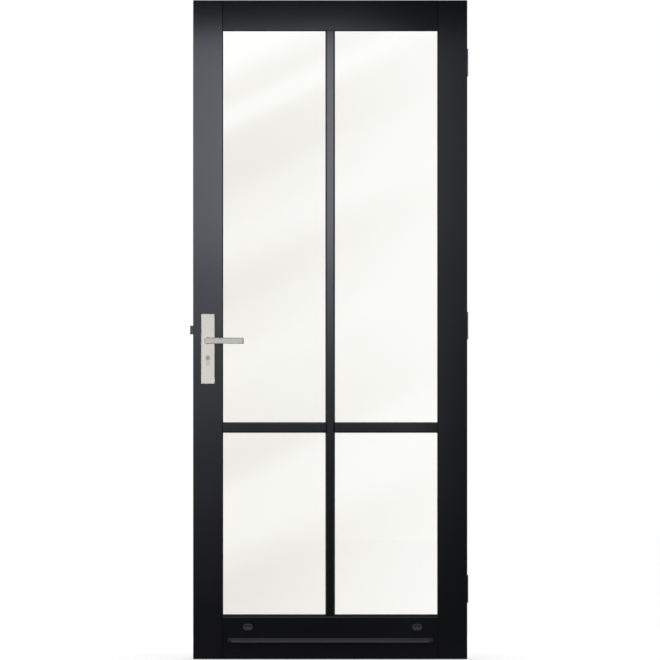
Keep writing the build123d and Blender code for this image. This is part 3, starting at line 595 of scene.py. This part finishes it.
# Sizes and colours that a user would change
class DoorLook(bpy.types.PropertyGroup):
    """Colours and sizes of the finishes, the seals, the light and the camera."""

    paint_colour: FloatVectorProperty(
        name="Paint", description="Colour of the painted timber", subtype="COLOR",
        default=(0.0056, 0.006, 0.0071), min=0, max=1,
    )
    paint_rough: FloatProperty(
        name="Paint roughness", description="Roughness of the satin paint",
        default=0.18, min=0, max=1, subtype="FACTOR",
    )
    steel_colour: FloatVectorProperty(
        name="Handle steel", description="Colour of plates and levers", subtype="COLOR",
        default=(0.655, 0.635, 0.607), min=0, max=1,
    )
    steel_rough: FloatProperty(
        name="Steel roughness", description="Roughness of plates and levers",
        default=0.48, min=0, max=1, subtype="FACTOR",
    )
    vent_colour: FloatVectorProperty(
        name="Vent caps", description="Colour of the moulded vent caps", subtype="COLOR",
        default=(0.044, 0.044, 0.048), min=0, max=1,
    )
    drip_colour: FloatVectorProperty(
        name="Drip bar", description="Colour of the drip bar's hood", subtype="COLOR",
        default=(0.019, 0.02, 0.0235), min=0, max=1,
    )
    # The lip's colour is a painted highlight, lighter than the hood
    drip_lip_highlight: FloatVectorProperty(
        name="Drip lip", description="Colour of the drip bar's worn lower lip", subtype="COLOR",
        default=(0.052, 0.056, 0.065), min=0, max=1,
    )
    glass_tint: FloatVectorProperty(
        name="Glass", description="Tint of the panes", subtype="COLOR",
        default=(0.985, 0.99, 0.985), min=0, max=1,
    )
    seal_width: FloatProperty(
        name="Seal width", description="Width of the sealant bead on the glass",
        default=0.0012, min=0.0005, max=0.006, unit="LENGTH",
    )
    seal_height: FloatProperty(
        name="Seal height", description="Height of the sealant bead above the glass",
        default=0.003, min=0.001, max=0.006, unit="LENGTH",
    )
    lens: FloatProperty(
        name="Lens", description="Focal length of the camera on a 36 mm sensor, in millimetres",
        default=600, min=20, max=1000,
    )


class Work(bpy.types.Operator):
    """What all steps share: the look's values."""

    bl_options = {"REGISTER", "UNDO"}

    @property
    def look(self):
        """The values that the sidebar shows."""
        return bpy.context.scene.door_look


class DOOR_OT_timber(Work):
    """Paint on stiles, rails, beads and bars, each with its grain along its length."""

    bl_idname = "door.timber"
    bl_label = "Painted timber"

    def execute(self, context):
        colour, rough = self.look.paint_colour, self.look.paint_rough
        upright = paint("paint_on_uprights", colour, rough, GRAIN_UP)
        level = paint("paint_on_bars", colour, rough, GRAIN_ACROSS)
        top = paint("paint_on_top_rail", colour, rough, GRAIN_ACROSS, shine=RAIL_SHINE)
        # The bottom rail's arris gets a painted highlight up to its nose
        bottom = paint("paint_on_bottom_rail", colour, rough, GRAIN_ACROSS, highlit=NOSE_TOP)
        dress(upright, "lock_stile", "hinge_stile", "glazing_bead_lock_side",
              "glazing_bead_hinge_side", "outer_bar_upright", "inner_bar_upright")
        dress(level, "outer_bar_left", "outer_bar_right", "inner_bar_left", "inner_bar_right")
        dress(top, "top_rail", "glazing_bead_top", "glazing_bead_bottom")
        dress(bottom, "bottom_rail")
        dress(bare_wood("beech", BEECH), "corner_dowels")
        return {"FINISHED"}


class DOOR_OT_glazing(Work):
    """The sealed unit: glass, spacer frame, edge seal, cavity bars, gaskets, blocks and tapes."""

    bl_idname = "door.glazing"
    bl_label = "Sealed unit"

    def execute(self, context):
        dress(float_glass("float_glass", self.look.glass_tint), *PANES)
        for name in PANES:
            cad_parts[name].visible_shadow = False
        dress(plated("dark_spacer", SPACER_GREY, rough=0.5), "spacer_frame")
        dress(paint("cavity_bar_coat", self.look.paint_colour, rough=0.4, grain=GRAIN_EVEN),
              "cavity_bars")
        dress(moulded("edge_sealant", RUBBER_BLACK, rough=0.6, grain_size=0.002), "edge_seal")
        dress(moulded("gasket_rubber", RUBBER_BLACK, rough=0.55, grain_size=0.001),
              "gasket_outer", "gasket_inner")
        dress(moulded("foam_tape", FOAM_BLACK, rough=0.9, grain_size=0.0008), "bar_tapes")
        dress(moulded("block_plastic", BLOCK_GREY, rough=0.5, grain_size=0.001), "setting_blocks")
        return {"FINISHED"}


class DOOR_OT_seals(Work):
    """Tooled sealant beads round all four lights, outside and inside, and the seal at their foot."""

    bl_idname = "door.seals"
    bl_label = "Glazing seals"

    def execute(self, context):
        sealant = moulded("black_sealant", SEALANT_BLACK, rough=0.55, grain_size=0.003)
        section = tooled_fillet(self.look.seal_width, self.look.seal_height)
        lower = [opening for opening in lights() if opening[2] == TAPES[0].z]
        foot = [bar_along(x0, x1, foot_section()) for x0, x1, _, _ in lower]
        piece("seal_foot", foot, sealant, "leaf")
        for name, face, outward in (
            ("seal_outer", OUTER_PANE[0].y, -1),
            ("seal_inner", INNER_PANE[1].y, 1),
        ):
            parts = [swept_frame(opening, section, face, outward) for opening in lights()]
            piece(name, parts, sealant, "leaf")
        return {"FINISHED"}


class DOOR_OT_bottom_fittings(Work):
    """Vent caps and drip bar on the bottom rail."""

    bl_idname = "door.bottom_fittings"
    bl_label = "Vent caps and drip bar"

    def execute(self, context):
        drip_colour = self.look.drip_colour
        end_colour = opaque(drip_colour, DRIP_END_SHARE)
        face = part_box("vent_cap_left")[0].y
        dress(recess_shaded("vent_plastic", self.look.vent_colour, rough=0.42, face=face),
              "vent_cap_left", "vent_cap_right")
        dress(drip_coat(drip_colour, self.look.drip_lip_highlight), "drip_hood")
        dress(moulded("drip_end_plastic", end_colour, rough=0.45, grain_size=0.0006),
              "drip_end_left", "drip_end_right")
        dress(plated("carrier_aluminium", CARRIER_METAL, rough=0.35), "drip_carrier")
        return {"FINISHED"}


class DOOR_OT_handles(Work):
    """Brushed plates and levers with their small parts."""

    bl_idname = "door.handles"
    bl_label = "Handles"

    def execute(self, context):
        colour, rough = self.look.steel_colour, self.look.steel_rough
        dress(brushed("brushed_plate", colour, rough, BRUSHED_UP),
              "backplate_outer", "backplate_inner")
        # The lever is the plate's steel darkened as painted shade
        dress(brushed("brushed_lever", opaque(colour, LEVER_SHADE_SHARE), rough, BRUSHED_ACROSS),
              "lever_outer", "lever_inner")
        dress(plated("screw_steel", SCREW_METAL, rough=0.3),
              "plate_bolts", "grub_screws", "wood_screws", "bead_pins", "cylinder_screw")
        dress(moulded("bush_nylon", NYLON_BLACK, rough=0.45, grain_size=0.001), "lever_bushes")
        dress(plated("spindle_steel", SPINDLE_STEEL, rough=0.35), "spindle")
        return {"FINISHED"}


class DOOR_OT_lock(Work):
    """Mortise lock and profile cylinder."""

    bl_idname = "door.lock"
    bl_label = "Lock and cylinder"

    def execute(self, context):
        dress(brushed("forend_steel", PLAIN_STEEL, rough=0.34, lines=BRUSHED_UP), "lock_forend")
        dress(plated("zinc_plate", ZINC, rough=0.38),
              "lock_case", "lock_case_cover", "lock_follower", "lever_spring", "cylinder_cam")
        dress(plated("nickel_bolts", BOLT_NICKEL, rough=0.26), "latch_bolt", "dead_bolt")
        dress(plated("nickel_cylinder", BODY_NICKEL, rough=0.4), "cylinder_body")
        dress(turned_plug("nickel_plug", PLUG_NICKEL, rough=0.16, face=PLUG_OUTER[0].y),
              "cylinder_plug_outer", "cylinder_plug_inner")
        return {"FINISHED"}


class DOOR_OT_hinges(Work):
    """Butt hinges with pins and bearings."""

    bl_idname = "door.hinges"
    bl_label = "Hinges"

    def execute(self, context):
        dress(brushed("hinge_steel", PLAIN_STEEL, rough=0.34, lines=BRUSHED_HINGE),
              *HINGE_FLAPS, "hinge_pins")
        dress(plated("bearing_brass", BRASS, rough=0.3), "hinge_bearings")
        return {"FINISHED"}


# Stage

# The floor: half its side, its height, and its grey as it is lit, in gloss and to the camera
FLOOR_HALF = 20
FLOOR_Z = -0.0005
FLOOR_GREY, FLOOR_IN_GLOSS, FLOOR_SEEN = 0.8, 0.1, 1.01

# The front softbox: its distance, its edges, and how bright it is by height and across
SOFTBOX_Y = -0.95
SOFTBOX_LOW, SOFTBOX_HIGH, SOFTBOX_HALF = -0.2, 2.3, 1.0
SOFTBOX_STRENGTH = 4.2
SOFTBOX_TINT = (0.97, 1.0, 1.12, 1)
SOFTBOX_HEIGHTS = ((-0.2, 0.0), (0.1, 0.02), (0.35, 0.08), (0.6, 0.17), (0.9, 0.33),
                   (1.15, 0.56), (1.45, 0.94), (1.65, 1.0), (1.85, 0.97), (1.96, 0.95),
                   (2.035, 0.8), (2.055, 0.0), (2.3, 0.0))
SOFTBOX_HIGH_ACROSS = ((-1.0, 0.5), (-0.45, 0.65), (-0.2, 0.85), (0.0, 1.0), (0.12, 0.7),
                       (0.3, 0.17), (0.45, 0.1), (1.0, 0.05))
SOFTBOX_LOW_ACROSS = ((-1.0, 0.5), (-0.45, 0.68), (-0.37, 0.66), (-0.3, 0.36), (-0.19, 0.44),
                      (0.0, 0.3), (0.14, 0.4), (0.29, 0.8), (0.35, 0.3), (0.45, 0.13), (1.0, 0.1))

# The heights between which the softbox goes over from its low to its high spread
SOFTBOX_TURN = (0.5, 1.4)

# The ring of lamps for bare metal: seen from above, 0 is in front and 90 at the right
RING_AZIMUTHS = (50, 130, 230, 310)
RING_RADIUS, RING_Z, RING_WATTS = 3.2, 1.4, 10
RING_TARGET = (0, 0, 1.0)
RING_SIZE = (2.2, 2.5)

# Levels of the world as light and in gloss
SOFT_LIGHT, GLOSS_FRONT, GLOSS_ABOVE, GLOSS_THROUGH = 0.9, 0.05, 0.9, 0.2

# How far up and how far back a direction points where the world in gloss grows bright
WORLD_UP, WORLD_BACK = (0.5, 0.95), (0.1, 0.5)

# The card behind the glass, seen only through the panes, whose slanting bands are painted reflections
# of the panes
SKY_CORNER = (-3, 1.5, -1)
SKY_WIDTH, SKY_TALL = 6, 4
SKY_BRIGHT = (1.185, 1.17, 1.145, 1)
SKY_DARK = (0.965, 0.945, 0.905, 1)

# The card's bands: their slope, how deep they are by height at the left, and where they fade
BAND_SLOPE = 0.47
BAND_LOW, BAND_HIGH = 0.0, 2.4
BAND_DEPTHS = ((0.02, 0.75), (0.34, 1.0), (0.53, 0.45), (0.65, 0.45), (0.76, 0.88), (0.94, 0.65),
               (1.08, 0.45), (1.22, 0.65), (1.34, 0.85), (1.51, 0.42), (1.62, 0.6), (1.73, 0.9),
               (1.84, 0.8), (1.93, 0.15), (2.0, 0.55), (2.13, 0.0))
BAND_FADE_ACROSS, BAND_FADE_SHARE = (-0.45, 0.5), 0.75
BAND_FADE_UP = (0.0, 0.1)

# The photograph's height and where the leaf's edges lie in it, in pixels
PHOTO_ROWS = 660
TOP_ROW, BOTTOM_ROW = 0.1, 659.1
LEFT_COLUMN, RIGHT_COLUMN = 192.65, 467.75

# The camera's sensor in millimetres, and how far it sees
SENSOR_WIDTH, SIGHT = 36, 100


def seen_by(made, *rays):
    """The object shows only to those kinds of ray, of which shadow is one."""
    for ray in ("camera", "diffuse", "glossy", "transmission", "volume_scatter", "shadow"):
        setattr(made, f"visible_{ray}", ray in rays)


def receivers(lamp, names, state):
    """The lamp or card lights those nodes alone, for INCLUDE, or all but those, for EXCLUDE."""
    group = bpy.data.collections.new(f"{lamp.name}_{state.lower()}")
    for name in names:
        group.objects.link(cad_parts[name])
    lamp.light_linking.receiver_collection = group
    for entry in group.collection_objects:
        entry.light_linking.link_state = state


def card(name, corner, across, up, material):
    """A flat four-sided card from one corner."""
    corner, across, up = Vector(corner), Vector(across), Vector(up)
    points = [corner, corner + across, corner + across + up, corner + up]
    mesh = bpy.data.meshes.new(name)
    mesh.from_pydata([tuple(p) for p in points], [], [(0, 1, 2, 3)])
    mesh.materials.append(material)
    made = bpy.data.objects.new(name, mesh)
    bpy.context.scene.collection.objects.link(made)
    return made


def soft_lamp(name, place, target, size, watts):
    """A soft rectangular lamp, turned to a target, that the camera doesn't see."""
    data = bpy.data.lights.new(name, "AREA")
    data.shape = "RECTANGLE"
    data.size, data.size_y = size
    data.energy = watts
    made = bpy.data.objects.new(name, data)
    made.location = place
    aim = Vector(target) - Vector(place)
    made.rotation_euler = aim.to_track_quat("-Z", "Y").to_euler()
    bpy.context.scene.collection.objects.link(made)
    seen_by(made, "diffuse", "glossy", "shadow")
    return made


def softbox_material():
    """Light of the front softbox: brightest above the middle, fading down and to the right."""
    material = bpy.data.materials.new("softbox_light")
    tree = Tree(material)
    x, _, z = tree.axes(tree.place())
    tall = tree.curve(z, SOFTBOX_LOW, SOFTBOX_HIGH, SOFTBOX_HEIGHTS)
    high = tree.curve(x, -SOFTBOX_HALF, SOFTBOX_HALF, SOFTBOX_HIGH_ACROSS)
    low = tree.curve(x, -SOFTBOX_HALF, SOFTBOX_HALF, SOFTBOX_LOW_ACROSS)
    across = tree.blend(z.ease(*SOFTBOX_TURN), low, high)
    light = tree.blend(tall, grey(0), across)
    tinted = tree.blend(1.0, light, SOFTBOX_TINT, "MULTIPLY")
    glow = {"Color": tinted, "Strength": SOFTBOX_STRENGTH}
    tree.surface(tree.node("ShaderNodeEmission", {}, glow))
    return material


def sky_material():
    """What the glass shows behind the door: white with soft slanting bands, fainter to the right,
    which are painted reflections standing in for light mirrored on the panes.
    """
    material = bpy.data.materials.new("sky_bands")
    tree = Tree(material)
    x, _, z = tree.axes(tree.place())
    slant = z - x * BAND_SLOPE
    depth = tree.curve(slant, BAND_LOW, BAND_HIGH, BAND_DEPTHS)
    right = x.ease(*BAND_FADE_ACROSS)
    ground = 1.0 - z.ease(*BAND_FADE_UP)
    shown = tree.blend(right * BAND_FADE_SHARE + ground, depth, grey(0))
    band = tree.blend(shown, SKY_BRIGHT, SKY_DARK)
    colour = tree.blend(tree.seen_direct(), grey(GLOSS_THROUGH), band)
    tree.surface(tree.node("ShaderNodeEmission", {}, {"Color": colour}))
    return material


def floor_material():
    """A pale floor that shows as white to the camera and keeps the door's soft shadow."""
    material = bpy.data.materials.new("pale_floor")
    tree = Tree(material)
    shown = tree.light_path("Is Diffuse Ray") + tree.seen_direct()
    colour = tree.blend(shown, grey(FLOOR_IN_GLOSS), grey(FLOOR_GREY))
    lit = FLOOR_GREY * SOFT_LIGHT
    through = (*[level - lit for level in SKY_BRIGHT[:3]], 1)
    white = tree.blend(tree.light_path("Is Transmission Ray"), grey(FLOOR_SEEN - lit), through)
    glow = tree.blend(tree.seen_direct(), grey(0), white)
    tree.surface(tree.node("ShaderNodeBsdfPrincipled", {}, {
        "Base Color": colour, "Roughness": 1.0, "Specular IOR Level": 0.0,
        "Emission Color": glow, "Emission Strength": 1.0,
    }))
    return material


def studio_world():
    """White to the camera and through glass, even as light, and in gloss bright above and behind."""
    world = bpy.context.scene.world or bpy.data.worlds.new("studio")
    bpy.context.scene.world = world
    tree = Tree(world)
    _, back, up = tree.axes(tree.node("ShaderNodeTexCoord", output="Generated"))
    above = tree.blend(up.ease(*WORLD_UP), grey(GLOSS_FRONT), grey(GLOSS_ABOVE))
    mirrored = tree.blend(back.ease(*WORLD_BACK), above, grey(1.0))
    light = tree.blend(tree.light_path("Is Glossy Ray"), grey(SOFT_LIGHT), mirrored)
    dim = tree.blend(tree.light_path("Is Transmission Ray"), light, grey(GLOSS_THROUGH))
    white = tree.blend(tree.light_path("Is Transmission Ray"), grey(1.0), SKY_BRIGHT)
    colour = tree.blend(tree.seen_direct(), dim, white)
    tree.surface(tree.node("ShaderNodeBackground", {}, {"Color": colour}),
                 "ShaderNodeOutputWorld")


class DOOR_OT_stage(Work):
    """Floor, light, world and camera."""

    bl_idname = "door.stage"
    bl_label = "Stage"

    def execute(self, context):
        card("floor", (-FLOOR_HALF, -FLOOR_HALF, FLOOR_Z), (2 * FLOOR_HALF, 0, 0),
             (0, 2 * FLOOR_HALF, 0), floor_material())
        front = card("front_softbox", (SOFTBOX_HALF, SOFTBOX_Y, SOFTBOX_LOW),
                     (-2 * SOFTBOX_HALF, 0, 0), (0, 0, SOFTBOX_HIGH - SOFTBOX_LOW),
                     softbox_material())
        seen_by(front, "glossy")
        receivers(front, PANES + HANDLE_PARTS, "EXCLUDE")
        # A glowing card that only rays through the glass see, carrying the panes' painted reflections
        sky = card("sky_card", SKY_CORNER, (SKY_WIDTH, 0, 0), (0, 0, SKY_TALL), sky_material())
        seen_by(sky, "transmission")
        rear = soft_lamp("rear_softbox", place=(0.4, 3.2, 1.7), target=(0.4, 0, 1.7),
                         size=(2.2, 1.6), watts=14)
        receivers(rear, PANES, "EXCLUDE")
        fill = soft_lamp("handle_fill", place=(-0.45, -1.6, 0.68), target=(-0.4, 0, 1.0),
                         size=(0.9, 0.9), watts=23.5)
        fill.data.use_shadow = False
        receivers(fill, HANDLE_PARTS, "INCLUDE")
        for azimuth in RING_AZIMUTHS:
            turn = math.radians(azimuth)
            place = (RING_RADIUS * math.sin(turn), -RING_RADIUS * math.cos(turn), RING_Z)
            lamp = soft_lamp(f"metal_light_{azimuth}", place, RING_TARGET, RING_SIZE, RING_WATTS)
            receivers(lamp, METAL_PARTS, "INCLUDE")
        studio_world()
        self.camera()
        context.scene.view_settings.view_transform = "Standard"
        return {"FINISHED"}

    def camera(self):
        """A long lens level with the leaf's middle, so that the leaf fills the photograph's rows."""
        per_row = LEAF_HEIGHT / (BOTTOM_ROW - TOP_ROW)
        data = bpy.data.cameras.new("camera")
        data.sensor_width = SENSOR_WIDTH
        data.lens = self.look.lens
        data.clip_end = SIGHT
        distance = per_row * PHOTO_ROWS * data.lens / data.sensor_width
        x = (PHOTO_ROWS / 2 - (LEFT_COLUMN + RIGHT_COLUMN) / 2) * per_row
        z = LEAF_HEIGHT / 2 + ((BOTTOM_ROW + TOP_ROW) / 2 - PHOTO_ROWS / 2) * per_row
        made = bpy.data.objects.new("camera", data)
        made.location = (x, LEAF_FACE - distance, z)
        made.rotation_euler = (math.radians(90), 0, 0)
        bpy.context.scene.collection.objects.link(made)
        bpy.context.scene.camera = made


STEPS = (DOOR_OT_timber, DOOR_OT_glazing, DOOR_OT_seals, DOOR_OT_bottom_fittings,
         DOOR_OT_handles, DOOR_OT_lock, DOOR_OT_hinges, DOOR_OT_stage)


class DOOR_PT_sidebar(bpy.types.Panel):
    """The door's steps and values."""

    bl_label = "Patio door"
    bl_idname = "DOOR_PT_sidebar"
    bl_space_type = "VIEW_3D"
    bl_region_type = "UI"
    bl_category = "Door"

    def draw(self, context):
        for name in DoorLook.__annotations__:
            self.layout.prop(context.scene.door_look, name)
        for step in STEPS:
            self.layout.operator(step.bl_idname)


CLASSES = (DoorLook, *STEPS, DOOR_PT_sidebar)


def register():
    """Registers the classes and the look's values."""
    for some_class in CLASSES:
        bpy.utils.register_class(some_class)
    bpy.types.Scene.door_look = PointerProperty(type=DoorLook)


def unregister():
    """Takes the classes and the values out again."""
    del bpy.types.Scene.door_look
    for some_class in reversed(CLASSES):
        bpy.utils.unregister_class(some_class)


def main():
    """Runs every step."""
    register()
    for step in STEPS:
        group, name = step.bl_idname.split(".")
        if getattr(getattr(bpy.ops, group), name)() != {"FINISHED"}:
            raise RuntimeError(f"{step.bl_idname} did not finish")


if __name__ == "__main__":
    main()
